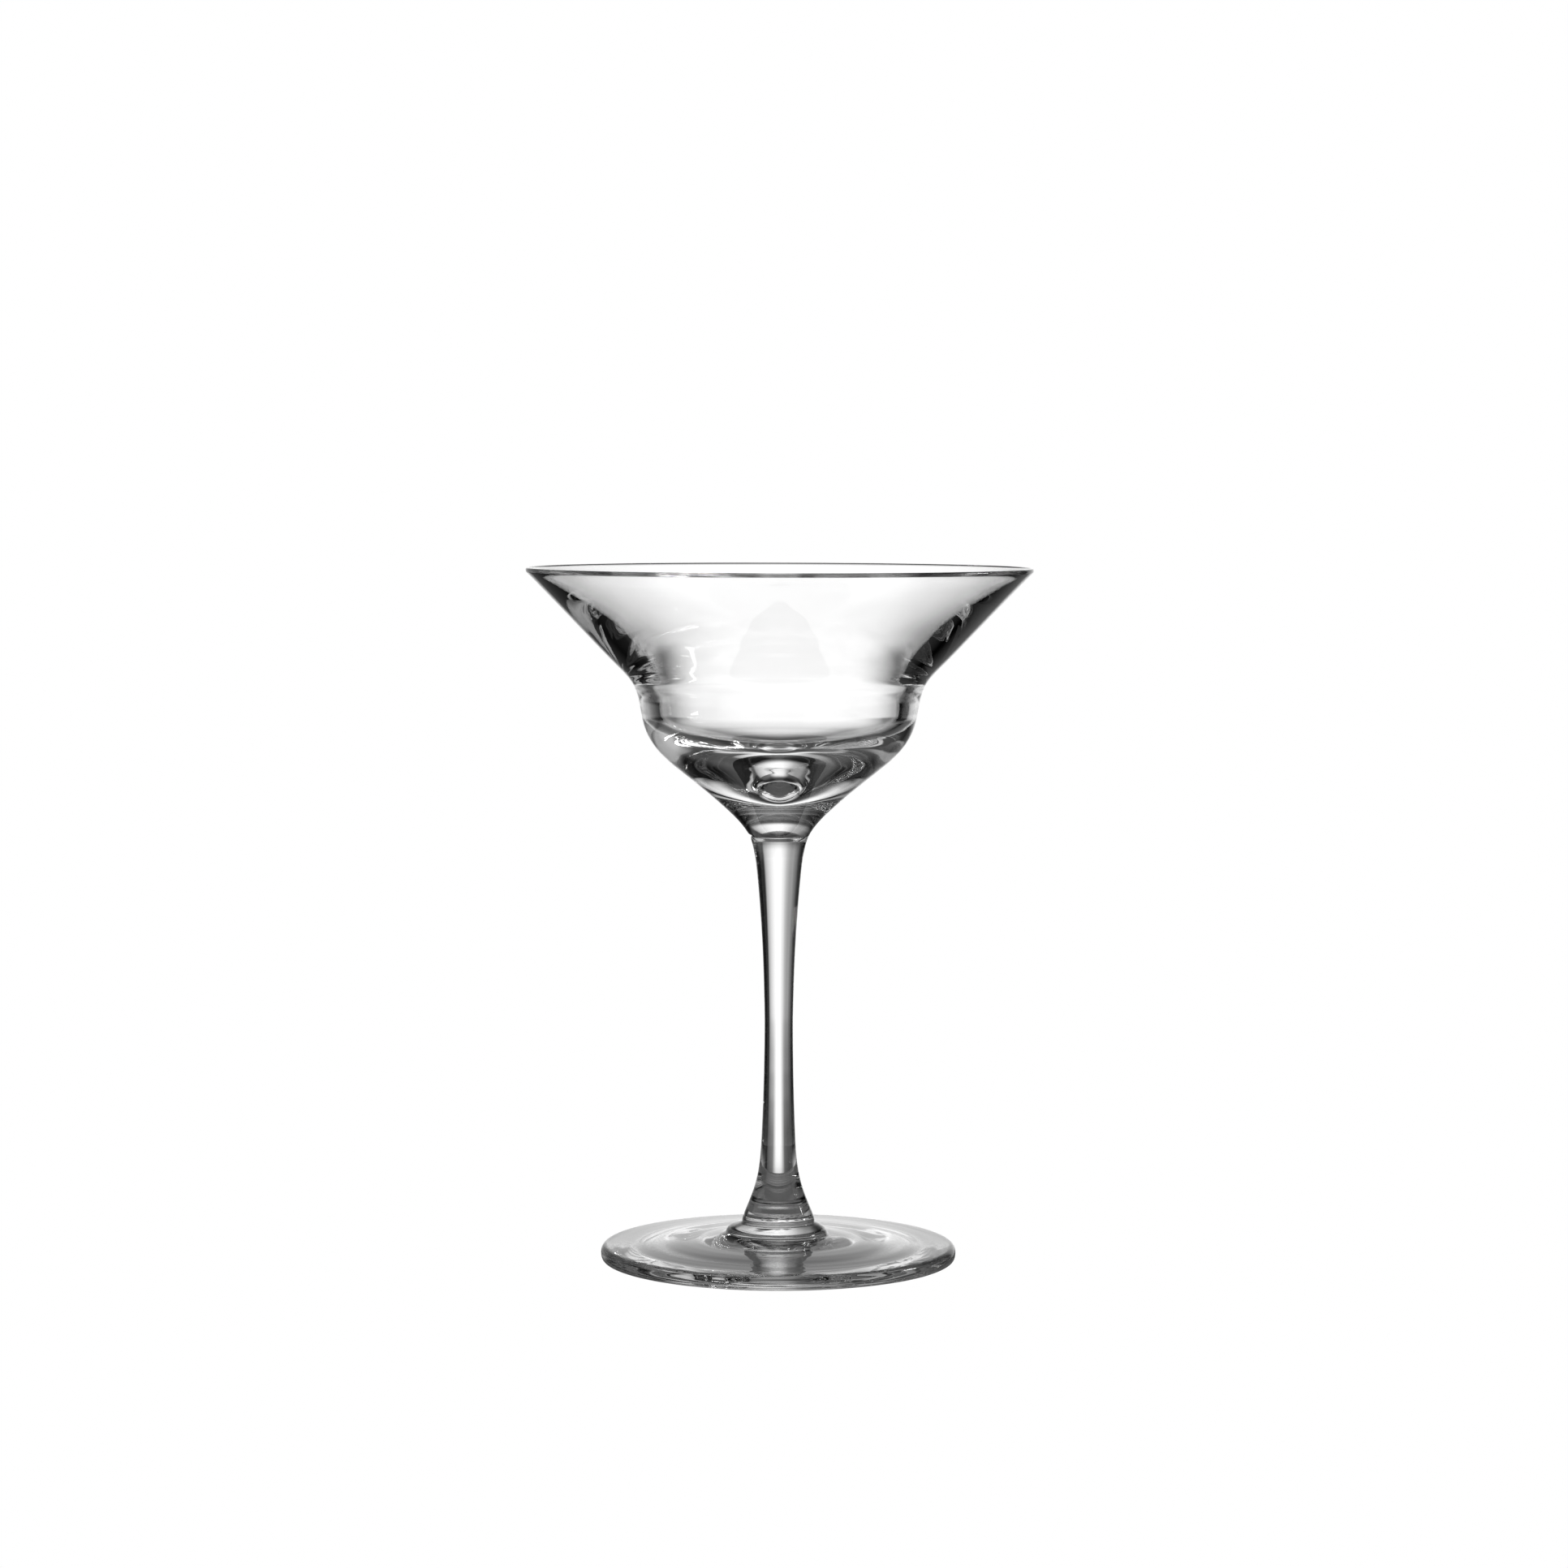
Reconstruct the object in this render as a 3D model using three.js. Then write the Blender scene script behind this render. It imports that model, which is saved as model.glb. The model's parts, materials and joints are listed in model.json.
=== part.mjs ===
// Stemmed cocktail (martini) glass, three-piece stemware.
//
// The real glass is made of three gathers of clear glass, formed one after the
// other and fused hot, end to end:
//   bowl  the flared cone, the small rounded cup under it and its thick solid base
//   stem  a drawn solid stem, waisted in the middle, flared at its lower end
//   foot  a round plate with a raised ring that takes the end of the stem
// Each one is a solid of revolution about the Z axis. The pieces meet face to
// face on two flat weld planes, so none of them overlaps another.
//
// Millimetres, +Z up. The origin is the centre of the foot, on the plane that
// the glass stands on. Nothing on the object moves.

import * as THREE from 'three';

// ---------------------------------------------------------------- dimensions

const RIM_RADIUS = 56.5; // outside of the rolled lip
const HEIGHT = 155.25; // foot to top of lip
const FOOT_RADIUS = 39.85;
const REST_RING_INNER = 32.9; // the flat ring that touches the table
const REST_RING_OUTER = 38.8;
const UNDERSIDE_RISE = 1.96; // height of the hollow under the middle of the foot
const FOOT_WELD_Z = 10.0; // plane between foot collar and stem
const FOOT_WELD_RADIUS = 7.8;
const BOWL_WELD_Z = 95.3; // plane between stem and bowl
const BOWL_WELD_RADIUS = 6.6;
const GATHER_RADIUS = 11.0; // ring of glass on the foot that takes the stem's bell
const CUP_FLOOR_Z = 107.43; // lowest point of the cavity

const BOWL_SEGMENTS = 48;
const STEM_SEGMENTS = 24;
const FOOT_SEGMENTS = 48;

// Profiles are lists of [radius, height], from the bottom up unless they say
// otherwise.

// Outside of the bowl, from the weld to just under the lip: solid base cone,
// rounded cup, neck, then the straight flared cone.
const BOWL_OUTSIDE = [
  [BOWL_WELD_RADIUS, BOWL_WELD_Z],
  [7.0, 96.0], [8.05, 97.5], [9.35, 99.0], [11.65, 101.25], [15.05, 104.25],
  [19.64, 108.0], [23.4, 111.0], [25.92, 113.25], [27.89, 115.5],
  [29.28, 117.75], [30.19, 120.0], [30.74, 122.25], [31.13, 124.5],
  [31.63, 126.75], [32.51, 129.0], [34.09, 131.25], [36.28, 133.5],
  [42.12, 139.5], [48.59, 146.25], [54.39, 152.25], [56.15, 154.05],
];

// The rolled lip, over the top from outside to inside.
const LIP = [
  [RIM_RADIUS, 154.7], [56.3, 155.1], [55.85, HEIGHT], [55.4, 155.05],
  [55.2, 154.65],
];

// Inside of the bowl, from the lip down: the cone, the neck, the cup's wall, the
// wide turn into the floor, and the floor dished down to the axis.
const BOWL_INSIDE = [
  [48.66, 148.7], [40.5, 141.82], [32.35, 134.84], [30.49, 133.15],
  [29.47, 132.09], [28.9, 131.32], [28.52, 130.61], [27.9, 129.0],
  [27.25, 127.24], [26.85, 125.65], [26.5, 122.82], [26.1, 121.48],
  [25.19, 119.89], [23.8, 118.42], [22.05, 117.11], [19.69, 115.7],
  [16.0, 113.9], [12.2, 112.04], [8.67, 110.3], [5.67, 109.0],
  [3.0, 108.01], [1.33, 107.56], [0, CUP_FLOOR_Z],
];

// Side of the stem, from the foot weld to the bowl weld.
const STEM_SIDE = [
  [FOOT_WELD_RADIUS, FOOT_WELD_Z],
  [7.09, 11.75], [6.18, 14.0], [5.39, 16.25], [4.79, 18.5], [4.35, 21.0],
  [4.01, 24.0], [3.68, 30.0], [3.46, 36.0], [3.28, 44.0], [3.19, 53.0],
  [3.32, 60.0], [3.58, 68.0], [4.01, 76.0], [4.64, 84.0], [5.08, 88.5],
  [5.52, 91.5], [6.05, 93.75], [BOWL_WELD_RADIUS, BOWL_WELD_Z],
];

// Upper side and edge of the foot, from the rest ring round the rounded edge,
// over the gently rising plate, up the ring that gathers the stem, then the last
// of the stem's bell up to the weld.
const FOOT_OUTSIDE = [
  [REST_RING_OUTER, 0], [39.3, 0.13], [39.58, 0.37], [39.78, 0.85],
  [FOOT_RADIUS, 1.67], [39.75, 2.25], [39.49, 2.8], [39.23, 3.04],
  [38.93, 3.2], [37.96, 3.33],
  [30.74, 3.79], [24.0, 4.39], [17.92, 4.74], [12.99, 5.33], [11.31, 5.45],
  [GATHER_RADIUS, 5.65], [10.73, 6.45], [10.3, 6.98], [9.37, 7.69],
  [8.21, 8.28], [8.13, 8.51], [8.06, 9.25], [FOOT_WELD_RADIUS, FOOT_WELD_Z],
];

// Underside of the foot, from the axis out to the rest ring: nearly flat over
// the middle, then down to the table.
const FOOT_UNDERSIDE = [
  [0, UNDERSIDE_RISE], [6.75, 1.93], [15.01, 1.82], [16.97, 1.76],
  [19.37, 1.55], [24.65, 0.79], [28.56, 0.42], [31.54, 0.08],
  [REST_RING_INNER, 0],
];

// ------------------------------------------------------------------- shapes

// LatheGeometry turns a profile about Y, so the result is laid over to turn
// about Z. The profile starts and ends on the axis, which closes the solid.
function turned(profile, segments) {
  const points = profile.map(([r, z]) => new THREE.Vector2(r, z));
  const geometry = new THREE.LatheGeometry(points, segments);
  geometry.rotateX(Math.PI / 2);
  return geometry;
}

function clearGlass() {
  return new THREE.MeshStandardMaterial({
    color: 0xeef1f0,
    roughness: 0.02,
    metalness: 0,
    transparent: true,
    opacity: 0.35,
  });
}

function piece(name, profile, segments) {
  const mesh = new THREE.Mesh(turned(profile, segments), clearGlass());
  mesh.name = name;
  return mesh;
}

// ------------------------------------------------------------------- pieces

const bowl = piece(
  'bowl',
  [
    [0, BOWL_WELD_Z],
    ...BOWL_OUTSIDE,
    ...LIP,
    ...BOWL_INSIDE,
  ],
  BOWL_SEGMENTS,
);

const stem = piece(
  'stem',
  [[0, FOOT_WELD_Z], ...STEM_SIDE, [0, BOWL_WELD_Z]],
  STEM_SEGMENTS,
);

const foot = piece(
  'foot',
  [
    ...FOOT_UNDERSIDE,
    ...FOOT_OUTSIDE,
    [0, FOOT_WELD_Z],
  ],
  FOOT_SEGMENTS,
);

const glass = new THREE.Group();
glass.name = 'martini_glass';
glass.add(bowl, stem, foot);

export default glass;
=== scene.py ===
"""Stemmed cocktail (martini) glass: the looks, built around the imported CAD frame.

Three gathers of clear glass, fused end to end: bowl, stem, foot. Each one is
rebuilt here as a fine, closed, turned surface with the small unevenness that
hot-worked glass has, and stands in for its CAD node. Lengths in the profiles
are millimetres, as in the CAD; the scene is in metres.
"""

import json
import math

import bpy
import numpy as np
from mathutils import Matrix, Vector

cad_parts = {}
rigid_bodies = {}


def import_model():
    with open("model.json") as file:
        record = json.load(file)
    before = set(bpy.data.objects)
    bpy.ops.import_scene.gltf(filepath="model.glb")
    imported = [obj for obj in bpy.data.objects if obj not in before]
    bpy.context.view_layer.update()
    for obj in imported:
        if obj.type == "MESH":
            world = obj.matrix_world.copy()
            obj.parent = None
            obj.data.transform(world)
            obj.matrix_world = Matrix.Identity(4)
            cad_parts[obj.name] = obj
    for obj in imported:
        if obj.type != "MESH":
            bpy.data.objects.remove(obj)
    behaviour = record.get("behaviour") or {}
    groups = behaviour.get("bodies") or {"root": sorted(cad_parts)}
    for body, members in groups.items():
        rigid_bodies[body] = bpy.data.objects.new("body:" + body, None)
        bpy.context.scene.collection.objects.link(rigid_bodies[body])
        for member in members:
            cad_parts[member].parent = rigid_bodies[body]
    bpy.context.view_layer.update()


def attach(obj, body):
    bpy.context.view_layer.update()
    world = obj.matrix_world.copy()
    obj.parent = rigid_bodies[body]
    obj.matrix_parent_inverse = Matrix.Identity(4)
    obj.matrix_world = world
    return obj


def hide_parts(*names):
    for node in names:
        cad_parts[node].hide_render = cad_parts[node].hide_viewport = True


for thing in list(bpy.data.objects):
    bpy.data.objects.remove(thing, do_unlink=True)
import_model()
MM = 0.001

# --------------------------------------------------------------- profiles (mm)

FOOT_WELD_Z = 10.0
BOWL_WELD_Z = 95.3

# outside of collar, stem and bowl, from the foot's collar up to the lip: (z, r)
OUTSIDE = [
    (9.5, 8.01), (10.25, 7.71), (11, 7.40), (11.75, 7.09), (12.5, 6.78),
    (13.25, 6.48), (14, 6.18), (14.75, 5.90), (15.5, 5.63), (16.25, 5.39),
    (17, 5.17), (17.75, 4.97), (18.5, 4.79), (19.25, 4.63), (20, 4.49),
    (22, 4.20), (24, 4.01), (26, 3.87), (28, 3.77), (30, 3.68), (32, 3.60),
    (34, 3.53), (36, 3.46), (38, 3.41), (40, 3.36), (42, 3.31), (44, 3.28),
    (46, 3.25), (48, 3.22), (50, 3.20), (52, 3.19), (54, 3.19), (56, 3.22),
    (58, 3.26), (60, 3.32), (62, 3.37), (64, 3.43), (66, 3.50), (68, 3.58),
    (70, 3.67), (72, 3.77), (74, 3.89), (76, 4.01), (78, 4.15), (80, 4.30),
    (82, 4.46), (84, 4.64), (85.5, 4.78), (87, 4.92), (88.5, 5.08),
    (90, 5.26), (90.75, 5.37), (91.5, 5.52), (92.25, 5.68), (93, 5.85),
    (93.75, 6.05), (94.5, 6.29), (95.25, 6.60), (96, 7.00), (96.75, 7.49),
    (97.5, 8.05), (98.25, 8.67), (99, 9.35), (99.75, 10.08), (100.5, 10.85),
    (101.25, 11.65), (102, 12.47), (103.5, 14.17), (105, 15.93),
    (106.5, 17.76), (108, 19.64), (109.5, 21.55), (111, 23.40),
    (111.75, 24.29), (112.5, 25.13), (113.25, 25.92), (114, 26.65),
    (114.75, 27.30), (115.5, 27.89), (116.25, 28.41), (117, 28.87),
    (117.75, 29.28), (118.5, 29.63), (119.25, 29.93), (120, 30.19),
    (120.75, 30.40), (121.5, 30.58), (122.25, 30.74), (123, 30.87),
    (123.75, 31.00), (124.5, 31.13), (125.25, 31.27), (126, 31.43),
    (126.75, 31.63), (127.5, 31.87), (128.25, 32.16), (129, 32.51),
    (129.75, 32.95), (130.5, 33.47), (131.25, 34.09), (132, 34.78),
    (132.75, 35.52), (133.5, 36.28), (135, 37.78), (137.25, 39.97),
    (139.5, 42.12), (141.75, 44.28), (144, 46.43), (146.25, 48.59),
    (148.5, 50.75), (150.75, 52.93), (152.25, 54.39),
]
# the fire-polished lip, outside to inside: (r, z)
LIP = [
    (56.18, 154.06), (56.44, 154.42), (56.50, 154.78), (56.42, 155.06),
    (56.20, 155.23), (55.95, 155.22), (55.70, 155.07), (55.45, 154.86),
    (55.18, 154.62),
]
# control points of the cavity, from the lip down the wall and over the dished
# floor to the axis: (r, z)
CAVITY = [
    (55.18, 154.62), (51.65, 151.3), (46.6, 146.9), (40.7, 142.0),
    (35.55, 137.6), (31.57, 134.2), (28.81, 131.6), (28.14, 129.6),
    (27.32, 127.6), (26.74, 125.5), (26.66, 123.2), (26.03, 120.92),
    (24.19, 118.46), (20, 115.73), (16, 113.95), (12, 111.90), (8, 109.95),
    (4, 108.3), (0, 107.0),
]
# control points of the foot, from the collar over the ring that gathers the
# stem, across the plate and round its edge to the flat rest ring: (r, z)
FOOT_OVER = [
    (7.71, 10.25), (8.01, 9.5), (8.15, 8.9), (8.06, 8.2), (8.9, 8.01),
    (10.0, 7.29), (10.94, 6.4), (10.88, 5.35), (12.2, 5.44), (14, 5.2),
    (18, 4.64), (24, 4.48), (30, 3.80), (35, 3.50), (37.6, 3.36),
    (38.4, 3.30), (39.05, 3.22), (39.62, 2.75), (39.86, 2.0), (39.86, 1.2),
    (39.7, 0.4), (39.2, 0), (38.4, 0), (36.5, 0),
]
# control points of the underside, from the rest ring in to the axis: (r, z)
FOOT_UNDER = [
    (36.5, 0), (33.5, 0), (31.5, 0), (28.5, 0.49), (24, 0.75), (18.5, 1.84),
    (12.5, 1.82), (7, 1.94), (0, 1.97),
]


def smooth(points, per):
    """Catmull-Rom curve through the points, per steps between two of them."""
    p = [np.array(q, float) for q in points]
    p = [2 * p[0] - p[1]] + p + [2 * p[-1] - p[-2]]
    out = []
    for a, b, c, d in zip(p, p[1:], p[2:], p[3:]):
        for k in range(per):
            t = k / per
            out.append(0.5 * (2 * b + (c - a) * t + (2 * a - 5 * b + 4 * c - d) * t * t + (3 * b - a - 3 * c + d) * t ** 3))
    out.append(p[-2])
    return [tuple(q) for q in out]


def flowing(points, per, to_axis=False):
    """Cubic B-spline with the list as its control points. It passes through
    both ends; with to_axis it meets the axis level."""
    c = [np.array(q, float) for q in points]
    past = c[-2] * (-1, 1) if to_axis else 2 * c[-1] - c[-2]
    c = [2 * c[0] - c[1]] + c + [past]
    out = []
    for k in range((len(c) - 3) * per + 1):
        i, t = min(k // per, len(c) - 4), k / per
        t -= i
        w = ((1 - t) ** 3, 3 * t ** 3 - 6 * t * t + 4, -3 * t ** 3 + 3 * t * t + 3 * t + 1, t ** 3)
        out.append(sum(q * v for q, v in zip(c[i:i + 4], w)) / 6)
    return [(float(q[0]), float(q[1])) for q in out]


def cut(profile, z0, z1):
    """The part of an upward (r, z) profile between two heights, ends included,
    with closer rows beside the welds."""
    r = [q[0] for q in profile]
    z = [q[1] for q in profile]
    rows = {round(b, 5) for _, b in profile if z0 + 1e-4 < b < z1 - 1e-4}
    for w in (FOOT_WELD_Z, BOWL_WELD_Z):
        rows = {b for b in rows if abs(b - w) > 1.05}
        rows |= {round(w + k * 0.1, 5) for k in range(-10, 11)}
    rows = sorted(b for b in rows if z0 + 1e-4 < b < z1 - 1e-4)
    return [(float(np.interp(b, z, r)), b) for b in [z0] + rows + [z1]]


side = smooth([(r, z) for z, r in OUTSIDE], 3)

# ---------------------------------------------------------------- relief (mm)
# Hot-worked glass is never a perfect turned surface. Each function gives how
# far the skin stands proud of the profile, for a radius, height and angle.


def waves(theta, z, seed, orders, height, length, twist=0.0):
    """Broad unevenness: a seeded sum of lobes round the axis that drift with z."""
    rng = np.random.default_rng(seed)
    total = np.zeros(np.broadcast(theta, z).shape)
    for order in orders:
        for _ in range(2):
            total = total + rng.uniform(0.5, 1.0) * np.cos(
                order * (theta + twist * z) + rng.uniform(0, 2 * math.pi)
                + z * rng.uniform(-1, 1) * 2 * math.pi / length
            )
    return height * total / max(1, len(orders))


def hump(x, centre, width):
    return np.exp(-(((x - centre) / width) ** 2))


def ramp(x, a, b):
    t = np.clip((x - a) / (b - a), 0, 1)
    return t * t * (3 - 2 * t)


def seam(z, theta, level, depth, seed):
    """The shallow uneven groove that runs round a fused joint."""
    rng = np.random.default_rng(seed)
    uneven = 1.0 + sum(
        rng.uniform(0.1, 0.35) * np.cos(k * theta + rng.uniform(0, 2 * math.pi)) for k in (1, 2, 3, 5, 9, 14, 23)
    )
    return -depth * np.maximum(uneven, 0.1) * np.exp(-(((z - level) / 0.32) ** 2))


def upper_seam(z, theta):
    # one stretch at the back left was not melted in, and stays as a ledge
    turn = (theta - math.radians(184) + math.pi) % (2 * math.pi) - math.pi
    ledge = 0.34 * np.exp(-((turn / 0.42) ** 4)) * np.exp(-(((z - BOWL_WELD_Z) / 0.40) ** 2))
    return seam(z, theta, BOWL_WELD_Z, 0.015, 41) - ledge


def lower_seam(z, theta):
    return seam(z, theta, FOOT_WELD_Z, 0.07, 42)


def bowl_relief(r, z, theta, inner):
    away = ramp(z, BOWL_WELD_Z, BOWL_WELD_Z + 3) * (1 - ramp(z, 150, 154))
    out = waves(theta, z, 11, (2, 3, 5), 0.006, 60) * (1 - inner) + waves(theta, z, 12, (7, 9), 0.0010, 30) * (1 - inner)
    # faint turning bands round the neck and cup
    out = out + 0.003 * np.sin(z * 2.1 + 0.5 * np.sin(theta)) * hump(z, 129, 5)
    floor = inner * (1 - ramp(z, 119, 123))
    off = r * (1 + 0.10 * np.cos(theta - 0.8) + 0.05 * np.cos(2 * theta + 0.5))
    swirl = ramp(r, 5, 9) * (
        0.003 * np.sin(off * 2.3 + 0.5 * np.sin(3 * theta))
        + 0.0008 * np.sin(off * 5.1 + 1.3 * np.sin(theta + 0.9))
    )
    swirl = swirl + waves(theta, r, 14, (2, 3, 4), 0.010, 30) * ramp(r, 4, 16)
    return away * out * (1 - floor) + floor * swirl + upper_seam(z, theta) * (1 - inner)


def stem_relief(r, z, theta, inner):
    ends = ramp(z, FOOT_WELD_Z, FOOT_WELD_Z + 3) * (1 - ramp(z, BOWL_WELD_Z - 3, BOWL_WELD_Z))
    lines = waves(theta, z, 21, (5, 8, 11, 15), 0.0045, 260, twist=0.004)
    return ends * (lines + waves(theta, z, 22, (2, 3), 0.010, 70)) + upper_seam(z, theta) + lower_seam(z, theta)


def foot_relief(r, z, theta, inner):
    keep = ramp(z, 0.15, 0.9) * (1 - ramp(z, FOOT_WELD_Z - 2, FOOT_WELD_Z))
    swirl = 0.008 * np.sin(r * 1.9 - theta + 0.8 * np.sin(2 * theta)) + 0.004 * np.sin(r * 3.3 + 2 * theta)
    # the gathered ring is pulled out further on one side
    heap = (0.45 + 0.45 * np.cos(theta - math.radians(176))) * hump(r, 11.0, 1.3) * ramp(z, 3, 5) * (1 - ramp(z, 8, 9))
    return keep * (swirl + waves(theta, r, 31, (2, 3, 5), 0.012, 25)) + lower_seam(z, theta) + heap


# --------------------------------------------------------------------- meshes


def turned(name, profile, segments, relief, inner_from, welds):
    """Closed turned solid. profile is (r, z) in mm from axis to axis; welds are
    the heights of the flat faces that it shares with its neighbours."""
    pts = np.array(profile)
    pts[0, 0] = pts[-1, 0] = 0.0
    tangent = np.gradient(pts, axis=0)
    tangent /= np.maximum(np.linalg.norm(tangent, axis=1, keepdims=True), 1e-9)
    normal = np.stack([tangent[:, 1], -tangent[:, 0]], 1)
    theta = np.arange(segments) * 2 * math.pi / segments
    r, z = pts[1:-1, 0:1], pts[1:-1, 1:2]
    inner = (np.arange(1, len(pts) - 1) >= inner_from).astype(float)[:, None]
    lift = relief(r, z, theta[None, :], inner)
    across, along = normal[1:-1, 0:1].copy(), normal[1:-1, 1:2].copy()
    for w in welds:
        on_face = np.abs(z - w) < 1e-6
        along[on_face] = 0.0
        across[on_face] = np.clip(r / r[on_face].max(), 0, 1)[on_face] ** 8
    rr = r + lift * across
    zz = z + lift * along
    rings = np.stack([rr * np.cos(theta), rr * np.sin(theta), zz + 0 * theta], -1)
    verts = np.concatenate([[[0, 0, pts[0, 1]]], rings.reshape(-1, 3), [[0, 0, pts[-1, 1]]]]) * MM
    n, rows = segments, len(pts) - 2
    k = np.arange(n)
    nxt = (k + 1) % n
    quads = []
    for i in range(rows - 1):
        a, b = 1 + i * n, 1 + (i + 1) * n
        quads.append(np.stack([a + k, a + nxt, b + nxt, b + k], 1))
    last = len(verts) - 1
    a = 1 + (rows - 1) * n
    faces = [(0, int(1 + j), int(1 + i)) for i, j in zip(k, nxt)]
    faces += [tuple(int(v) for v in q) for block in quads for q in block]
    faces += [(int(a + i), int(a + j), last) for i, j in zip(k, nxt)]
    mesh = bpy.data.meshes.new(name)
    mesh.from_pydata(verts.tolist(), [], faces)
    mesh.update()
    height = np.array([p.center.z for p in mesh.polygons])
    up = np.array([abs(p.normal.z) for p in mesh.polygons])
    flat = np.zeros(len(height), np.int32)
    for i, w in enumerate(welds):
        flat[(np.abs(height - w * MM) < 1e-6) & (up > 0.9999)] = i + 1
    mesh.polygons.foreach_set("use_smooth", flat == 0)
    mesh.polygons.foreach_set("material_index", flat)
    mesh.update()
    piece = bpy.data.objects.new(name, mesh)
    bpy.context.scene.collection.objects.link(piece)
    return piece


bowl_side = cut(side, BOWL_WELD_Z, side[-1][1])
stem_side = cut(side, FOOT_WELD_Z, BOWL_WELD_Z)

lip = smooth([side[-1]] + LIP, 5)[1:]
inner_wall = flowing(CAVITY, 6, to_axis=True)[1:]
weld_disc = [(bowl_side[0][0] * t, BOWL_WELD_Z) for t in (0, 0.35, 0.7, 0.93)]
bowl_profile = weld_disc + bowl_side + lip + inner_wall
bowl = turned("bowl_glass", bowl_profile, 288, bowl_relief, len(weld_disc + bowl_side + lip), [BOWL_WELD_Z])

low = [(stem_side[0][0] * t, FOOT_WELD_Z) for t in (0, 0.35, 0.7, 0.93)]
high = [(stem_side[-1][0] * t, BOWL_WELD_Z) for t in (0.93, 0.7, 0.35, 0)]
stem = turned("stem_glass", low + stem_side + high, 224, stem_relief, 10 ** 6, [FOOT_WELD_Z, BOWL_WELD_Z])

under = list(reversed(flowing(FOOT_UNDER, 5, to_axis=True)))
over = [q for q in reversed(flowing(FOOT_OVER, 6)) if q[1] < FOOT_WELD_Z - 0.02]
disc = [(stem_side[0][0] * t, FOOT_WELD_Z) for t in (1, 0.93, 0.7, 0.35, 0)]
foot_profile = under + over[1:] + disc
foot = turned("foot_glass", foot_profile, 384, foot_relief, 10 ** 6, [FOOT_WELD_Z])

# ------------------------------------------------------------------ materials


def clear_glass(name, seed, stretch, ripple):
    """Clear soda-lime glass: faint cords in the melt, and a skin that is a
    little less polished in places. stretch draws both out along the piece."""
    mat = bpy.data.materials.new(name)
    mat.use_nodes = True
    nt = mat.node_tree
    nt.nodes.clear()
    out = nt.nodes.new("ShaderNodeOutputMaterial")
    glass = nt.nodes.new("ShaderNodeBsdfPrincipled")
    glass.inputs["Transmission Weight"].default_value = 1.0
    glass.inputs["IOR"].default_value = 1.52
    nt.links.new(glass.outputs[0], out.inputs["Surface"])
    coord = nt.nodes.new("ShaderNodeTexCoord")
    place = nt.nodes.new("ShaderNodeMapping")
    place.inputs["Scale"].default_value = stretch
    place.inputs["Location"].default_value = (seed * 0.37, seed * 0.11, seed * 0.23)
    nt.links.new(coord.outputs["Object"], place.inputs["Vector"])
    cords = nt.nodes.new("ShaderNodeTexNoise")
    cords.inputs["Scale"].default_value = 70.0
    cords.inputs["Detail"].default_value = 3.0
    cords.inputs["Distortion"].default_value = 0.6
    nt.links.new(place.outputs[0], cords.inputs["Vector"])
    tint = nt.nodes.new("ShaderNodeValToRGB")
    tint.color_ramp.elements[0].position = 0.35
    tint.color_ramp.elements[0].color = (0.980, 0.980, 0.980, 1)
    tint.color_ramp.elements[1].position = 0.62
    tint.color_ramp.elements[1].color = (0.998, 0.998, 0.998, 1)
    nt.links.new(cords.outputs["Fac"], tint.inputs["Fac"])
    nt.links.new(tint.outputs["Color"], glass.inputs["Base Color"])
    skin = nt.nodes.new("ShaderNodeTexNoise")
    skin.inputs["Scale"].default_value = 26.0
    skin.inputs["Detail"].default_value = 2.0
    nt.links.new(place.outputs[0], skin.inputs["Vector"])
    polish = nt.nodes.new("ShaderNodeMapRange")
    polish.inputs["From Min"].default_value = 0.5
    polish.inputs["From Max"].default_value = 0.9
    polish.inputs["To Min"].default_value = 0.0
    polish.inputs["To Max"].default_value = 0.003
    nt.links.new(skin.outputs["Fac"], polish.inputs["Value"])
    nt.links.new(polish.outputs[0], glass.inputs["Roughness"])
    bump = nt.nodes.new("ShaderNodeBump")
    bump.inputs["Strength"].default_value = ripple
    bump.inputs["Distance"].default_value = 0.00002
    nt.links.new(cords.outputs["Fac"], bump.inputs["Height"])
    nt.links.new(bump.outputs[0], glass.inputs["Normal"])
    return mat


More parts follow.
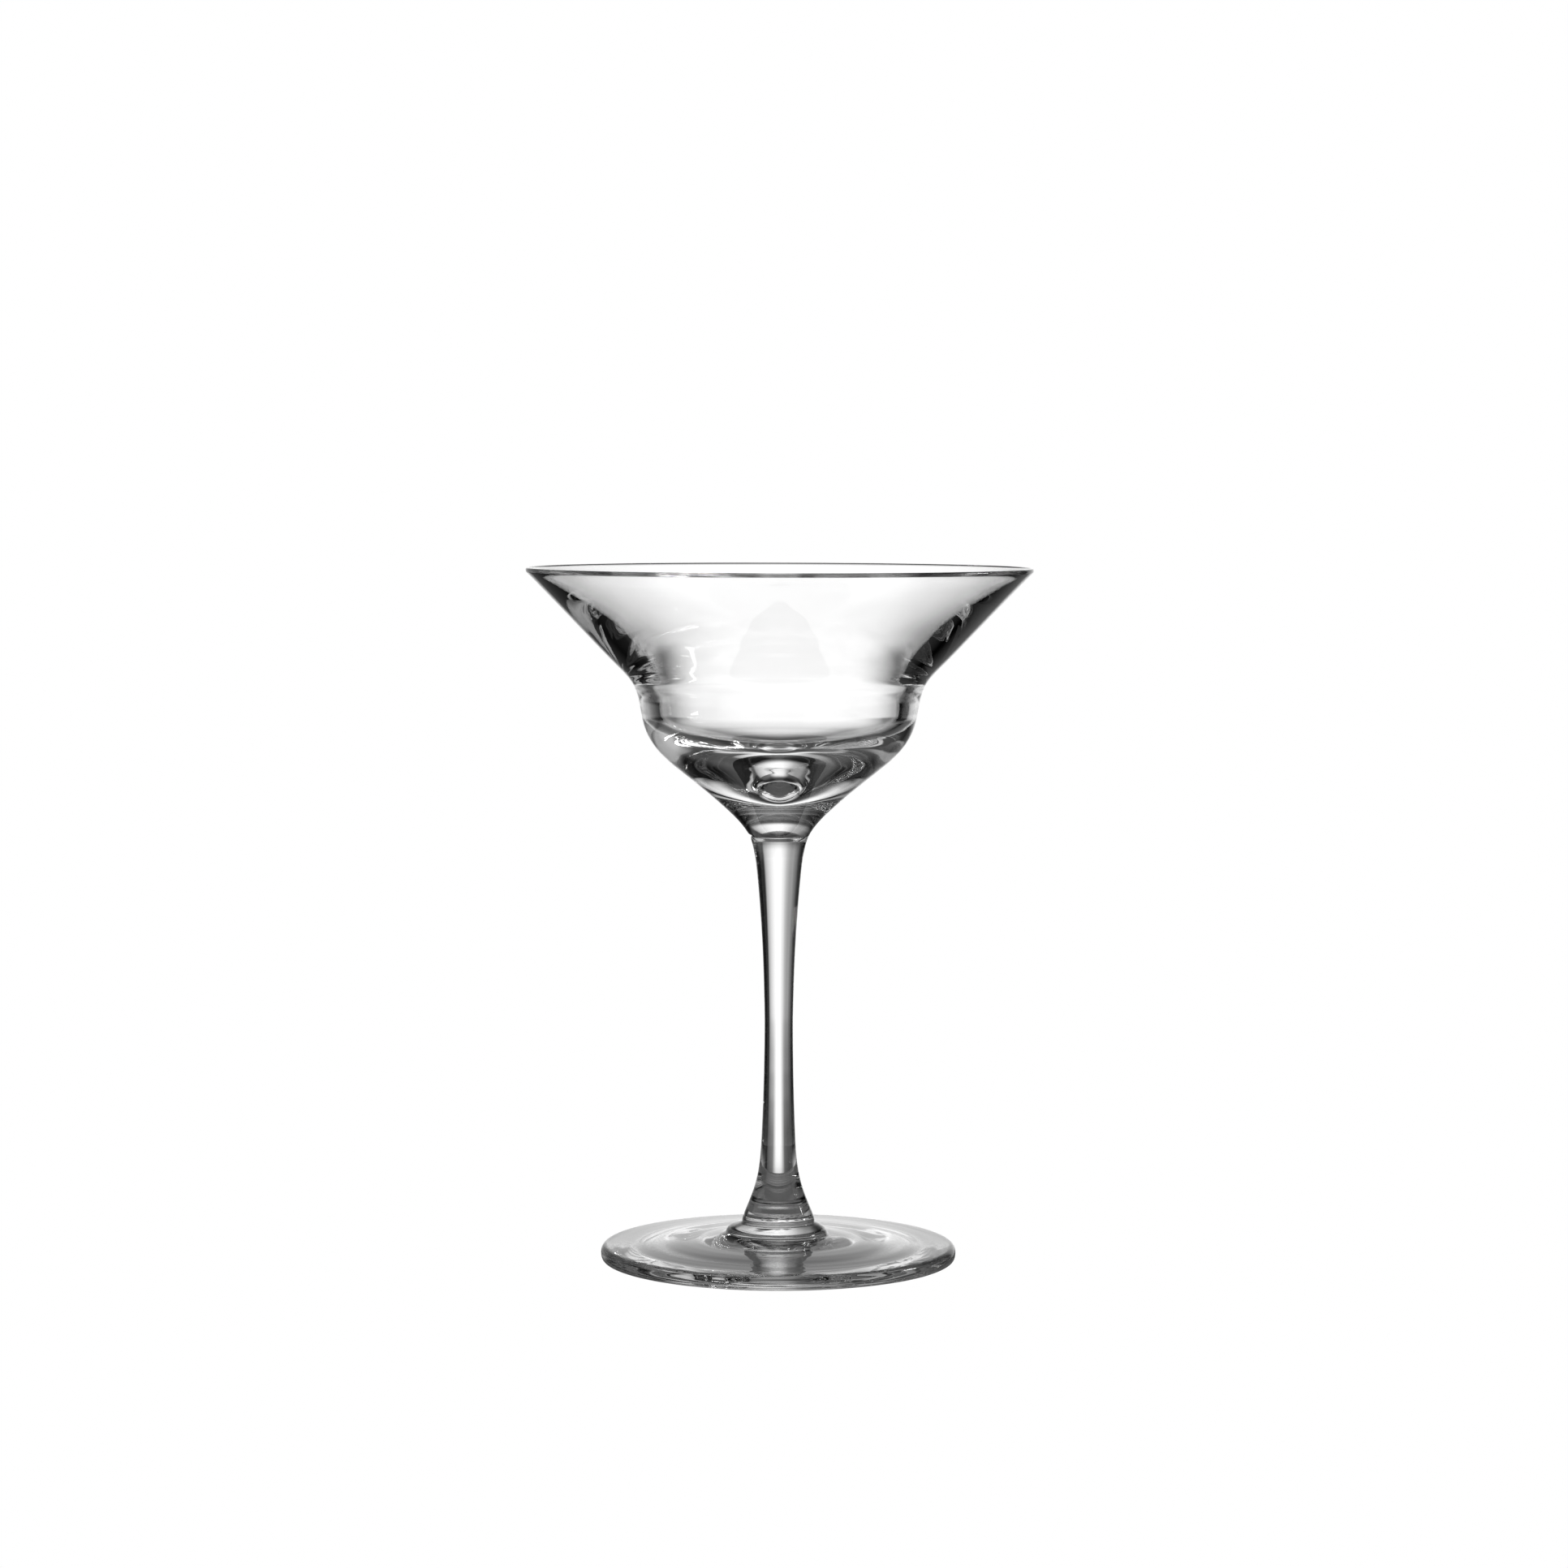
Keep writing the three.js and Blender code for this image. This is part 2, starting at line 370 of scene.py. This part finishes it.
def weld_plane(name, radius, seed, edge, dark):
    """Inside a weld the glass is continuous, so light crosses it unbent, except in the ragged ring near the edge,
    which lets through only the fraction dark: painted shade standing in for the darkness that refraction at the uneven
    seam gives."""
    mat = bpy.data.materials.new(name)
    mat.use_nodes = True
    nt = mat.node_tree
    nt.nodes.clear()
    out = nt.nodes.new("ShaderNodeOutputMaterial")
    clear = nt.nodes.new("ShaderNodeBsdfTransparent")
    nt.links.new(clear.outputs[0], out.inputs["Surface"])
    coord = nt.nodes.new("ShaderNodeTexCoord")
    flat = nt.nodes.new("ShaderNodeMapping")
    flat.inputs["Scale"].default_value = (1000.0, 1000.0, 0.0)
    nt.links.new(coord.outputs["Object"], flat.inputs["Vector"])
    reach = nt.nodes.new("ShaderNodeVectorMath")
    reach.operation = "LENGTH"
    nt.links.new(flat.outputs[0], reach.inputs[0])
    ragged = nt.nodes.new("ShaderNodeTexNoise")
    ragged.inputs["Scale"].default_value = 0.8
    ragged.inputs["Detail"].default_value = 3.0
    flat_seeded = nt.nodes.new("ShaderNodeMapping")
    flat_seeded.inputs["Location"].default_value = (seed * 3.1, seed * 1.7, seed)
    nt.links.new(flat.outputs[0], flat_seeded.inputs["Vector"])
    nt.links.new(flat_seeded.outputs[0], ragged.inputs["Vector"])
    shift = nt.nodes.new("ShaderNodeMapRange")
    shift.inputs["To Min"].default_value = -1.3
    shift.inputs["To Max"].default_value = 1.3
    nt.links.new(ragged.outputs["Fac"], shift.inputs["Value"])
    total = nt.nodes.new("ShaderNodeMath")
    total.operation = "ADD"
    nt.links.new(reach.outputs["Value"], total.inputs[0])
    nt.links.new(shift.outputs[0], total.inputs[1])
    unit = nt.nodes.new("ShaderNodeMapRange")
    unit.inputs["From Min"].default_value = 0.0
    unit.inputs["From Max"].default_value = radius
    nt.links.new(total.outputs[0], unit.inputs["Value"])
    # painted shade: the ragged outer ring of the weld face passes only the fraction dark
    painted_seam_shade = nt.nodes.new("ShaderNodeValToRGB")
    marks = painted_seam_shade.color_ramp.elements
    marks[0].position, marks[0].color = edge, (1, 1, 1, 1)
    marks[1].position, marks[1].color = edge + 0.05, (dark, dark, dark, 1)
    nt.links.new(unit.outputs[0], painted_seam_shade.inputs["Fac"])
    nt.links.new(painted_seam_shade.outputs["Color"], clear.inputs["Color"])
    return mat


# the dark ragged rings at both welds are painted seam shade, not dirt
upper_weld = weld_plane("upper_weld", bowl_side[0][0], 1, 0.94, 0.55)
lower_weld = weld_plane("lower_weld", stem_side[0][0], 2, 0.88, 0.12)
for piece, slot, node, seed, stretch, ripple, welds in (
    (bowl, "bowl_glass", "bowl", 1, (0.5, 0.5, 2.2), 0.03, (upper_weld,)),
    (stem, "stem_glass", "stem", 2, (2.2, 2.2, 0.08), 0.12, (lower_weld, upper_weld)),
    (foot, "foot_glass", "foot", 3, (1.0, 1.0, 1.0), 0.05, (lower_weld,)),
):
    piece.data.materials.append(clear_glass(slot, seed, stretch, ripple))
    for weld in welds:
        piece.data.materials.append(weld)
    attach(piece, "root")
    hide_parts(node)

# ----------------------------------------------------------------- the studio
# A bright-field set-up, as clear glass is lit: the glass is seen against a
# bright curved wall, and black flags beyond the wall's edges draw the outline.


def emission(name, strength):
    mat = bpy.data.materials.new(name)
    mat.use_nodes = True
    nt = mat.node_tree
    nt.nodes.clear()
    out = nt.nodes.new("ShaderNodeOutputMaterial")
    e = nt.nodes.new("ShaderNodeEmission")
    e.inputs["Strength"].default_value = strength
    nt.links.new(e.outputs[0], out.inputs["Surface"])
    return mat, nt, e


def mesh_object(name, verts, faces, mat):
    mesh = bpy.data.meshes.new(name)
    mesh.from_pydata(verts, [], faces)
    mesh.materials.append(mat)
    mesh.update()
    ob = bpy.data.objects.new(name, mesh)
    bpy.context.scene.collection.objects.link(ob)
    return ob


def seen_by(ob, camera, rays):
    ob.visible_camera = camera
    ob.visible_diffuse = ob.visible_glossy = ob.visible_transmission = rays
    ob.visible_volume_scatter = ob.visible_shadow = rays


def disc_object(name, radius, z, mat, steps=64):
    verts = [(radius * math.cos(2 * math.pi * i / steps), radius * math.sin(2 * math.pi * i / steps), z) for i in range(steps)]
    return mesh_object(name, verts, [tuple(range(steps))], mat)


# painted shadow: a dim emitting disc just under the foot, seen only by rays from the glass, stands in for the table in
# the glass's own shade
shade, _, _ = emission("painted_shadow_under_foot", 0.10)
seen_by(disc_object("painted_shadow_under_foot", 0.052, -0.001, shade), False, True)

# the small soft box, on the right and a little behind the glass
box, _, _ = emission("soft_box", 13.0)
side_way, rise_way, reach = math.radians(80.0), math.radians(17.0), 0.8
c = Vector((math.sin(side_way) * math.cos(rise_way), math.cos(side_way) * math.cos(rise_way), math.sin(rise_way))) * reach
c.z += 0.13
u = Vector((math.cos(side_way), -math.sin(side_way), 0)) * 0.085
v = Vector((-math.sin(side_way) * math.sin(rise_way), -math.cos(side_way) * math.sin(rise_way), math.cos(rise_way))) * 0.06
seen_by(mesh_object("soft_box", [c - u - v, c + u - v, c + u + v, c - u + v], [(0, 1, 2, 3)], box), False, True)

# the pale floor and the white surround that the camera sees
pale, _, _ = emission("pale_floor", 1.0)
seen_by(disc_object("floor", 3.0, -0.0015, pale), True, False)
white, _, _ = emission("white_surround", 1.0)
steps = 48
ring_pts = []
for h in (-0.01, 3.0):
    ring_pts += [(3.0 * math.cos(2 * math.pi * i / steps), 3.0 * math.sin(2 * math.pi * i / steps), h) for i in range(steps)]
surround = [(i, (i + 1) % steps, steps + (i + 1) % steps, steps + i) for i in range(steps)]
surround.append(tuple(range(steps, 2 * steps)))
seen_by(mesh_object("surround", ring_pts, surround, white), True, False)

# The room round the glass, as it looks from the glass: brightness by the angle
# round the axis (0 is behind the glass, positive to its right) and by height.
AROUND = [
    (-180, 0.02), (-62, 0.02), (-50, 0.033), (-44, 0.06), (-38, 0.11),
    (-32, 0.18), (-26, 0.29), (-20, 0.30), (-14, 0.45), (-8, 0.75), (-2, 0.99),
    (2, 1.0), (10, 0.9), (20, 0.62), (24.5, 0.48), (28, 0.34), (30.5, 0.06),
    (33, 0.006), (70, 0.006), (110, 0.015), (180, 0.02),
]
HIGH = [
    (-90, 0.03), (-46, 0.03), (-35, 0.08), (-29, 0.28), (-23, 0.66),
    (-17, 0.90), (-11, 1.0), (6, 1.0), (10, 0.90), (13, 0.73), (17, 0.53),
    (22, 0.25), (28, 0.12), (45, 0.08), (60, 0.08), (75, 0.06), (90, 0.05),
]

ASIDE = [(-180, 0.8), (-60, 0.8), (-14, 0.75), (-6, 0.0), (6, 0.0), (14, 0.75), (60, 0.8), (180, 0.8)]
LOW_DOWN = [(-90, 1.0), (-12, 1.0), (-6, 0.0), (90, 0.0)]

# Narrower pale panels round the rest of the room, so that the glass reads from
# every side: on the right, behind the camera and to the left, then the pale
# table beyond the patch under the foot.
RIGHT = [(-180, 0.0), (70, 0.0), (78, 0.5), (104, 0.5), (112, 0.0), (180, 0.0)]
RIGHT_HIGH = [(-90, 0.2), (-50, 0.4), (-30, 0.9), (12, 1.0), (22, 0.45), (50, 0.15), (90, 0.1)]
BACK = [(-180, 0.0), (112, 0.0), (120, 0.4), (152, 0.4), (160, 0.0), (180, 0.0)]
BACK_HIGH = [(-90, 0.2), (-50, 0.4), (-30, 0.9), (12, 1.0), (22, 0.45), (50, 0.15), (90, 0.1)]
LEFT = [(-180, 0.0), (-114, 0.0), (-106, 0.55), (-76, 0.55), (-68, 0.0), (180, 0.0)]
LEFT_HIGH = [(-90, 0.3), (-43, 0.6), (-40, 1.0), (-16, 1.0), (-13, 0.6), (-2, 0.6), (0, 0.0),
             (14, 0.0), (17, 1.0), (40, 1.0), (60, 0.3), (90, 0.1)]
# and the same table where the glass is looked down through steeply
STEEP = [(-180, 0.7), (180, 0.7)]
STEEP_LOW = [(-90, 1.0), (-62, 1.0), (-52, 0.0), (90, 0.0)]
TABLE = [(-180, 0.8), (-50, 0.8), (-38, 0.08), (-30, 0.0), (32, 0.0), (50, 0.4), (70, 0.8), (180, 0.8)]
TABLE_LOW = [(-90, 0.3), (-45, 0.9), (-24, 0.8), (-15, 0.0), (90, 0.0)]


def studio():
    world = bpy.data.worlds.new("studio")
    bpy.context.scene.world = world
    world.use_nodes = True
    nt = world.node_tree
    light = nt.nodes["Background"]
    coord = nt.nodes.new("ShaderNodeTexCoord")
    split = nt.nodes.new("ShaderNodeSeparateXYZ")
    nt.links.new(coord.outputs["Generated"], split.inputs[0])

    def scale(source, low, high, stops, gain=1.0):
        unit = nt.nodes.new("ShaderNodeMapRange")
        unit.inputs["From Min"].default_value = math.radians(low)
        unit.inputs["From Max"].default_value = math.radians(high)
        nt.links.new(source, unit.inputs["Value"])
        ramp_node = nt.nodes.new("ShaderNodeValToRGB")
        marks = ramp_node.color_ramp.elements
        while len(marks) < len(stops):
            marks.new(1.0)
        for mark, (deg, v) in zip(marks, stops):
            mark.position = (deg - low) / (high - low)
            mark.color = (v * gain, v * gain, v * gain, 1)
        nt.links.new(unit.outputs[0], ramp_node.inputs["Fac"])
        return ramp_node.outputs["Color"]

    turn = nt.nodes.new("ShaderNodeMath")
    turn.operation = "ARCTAN2"
    nt.links.new(split.outputs["X"], turn.inputs[0])
    nt.links.new(split.outputs["Y"], turn.inputs[1])
    rise = nt.nodes.new("ShaderNodeMath")
    rise.operation = "ARCSINE"
    nt.links.new(split.outputs["Z"], rise.inputs[0])
    both = nt.nodes.new("ShaderNodeMath")
    both.operation = "MULTIPLY"
    nt.links.new(scale(turn.outputs[0], -180, 180, AROUND, 1.18), both.inputs[0])
    nt.links.new(scale(rise.outputs[0], -90, 90, HIGH), both.inputs[1])
    # low and off to the sides the wall is screened
    aside = scale(turn.outputs[0], -180, 180, ASIDE)
    low_down = scale(rise.outputs[0], -90, 90, LOW_DOWN)
    screen = nt.nodes.new("ShaderNodeMath")
    screen.operation = "MULTIPLY"
    nt.links.new(aside, screen.inputs[0])
    nt.links.new(low_down, screen.inputs[1])
    open_part = nt.nodes.new("ShaderNodeMath")
    open_part.operation = "SUBTRACT"
    open_part.inputs[0].default_value = 1.0
    nt.links.new(screen.outputs[0], open_part.inputs[1])
    left_over = nt.nodes.new("ShaderNodeMath")
    left_over.operation = "MULTIPLY"
    nt.links.new(both.outputs[0], left_over.inputs[0])
    nt.links.new(open_part.outputs[0], left_over.inputs[1])
    room = left_over
    for round_about, up_down in ((RIGHT, RIGHT_HIGH), (BACK, BACK_HIGH), (LEFT, LEFT_HIGH), (TABLE, TABLE_LOW), (STEEP, STEEP_LOW)):
        part = nt.nodes.new("ShaderNodeMath")
        part.operation = "MULTIPLY"
        nt.links.new(scale(turn.outputs[0], -180, 180, round_about), part.inputs[0])
        nt.links.new(scale(rise.outputs[0], -90, 90, up_down), part.inputs[1])
        total = nt.nodes.new("ShaderNodeMath")
        total.operation = "ADD"
        nt.links.new(room.outputs[0], total.inputs[0])
        nt.links.new(part.outputs[0], total.inputs[1])
        room = total
    nt.links.new(room.outputs[0], light.inputs["Strength"])
    light.inputs["Color"].default_value = (1, 1, 1, 1)
    world.cycles.sampling_method = "NONE"  # glass finds the room by itself


studio()

scene = bpy.context.scene
scene.view_settings.view_transform = "Standard"
scene.cycles.max_bounces = 32
scene.cycles.transmission_bounces = 32
scene.cycles.glossy_bounces = 24
scene.cycles.transparent_max_bounces = 32

# --------------------------------------------------------------------- camera

F, SIZE = 5206.4, 1932
cam_data = bpy.data.cameras.new("camera")
cam = bpy.data.objects.new("camera", cam_data)
scene.collection.objects.link(cam)
cam_data.sensor_width = 36
cam_data.lens = F * 36 / SIZE
cam_data.clip_start, cam_data.clip_end = 0.01, 50
cam.location = (0, -0.9413, 0.17513)
aim = (
    Matrix.Rotation(-5.8 / F, 4, "Z")
    @ Matrix.Rotation(math.pi / 2 - 0.07228, 4, "X")
    @ Matrix.Rotation(math.atan(2.0 / 850), 4, "Z")
)
cam.rotation_euler = aim.to_euler()
scene.camera = cam
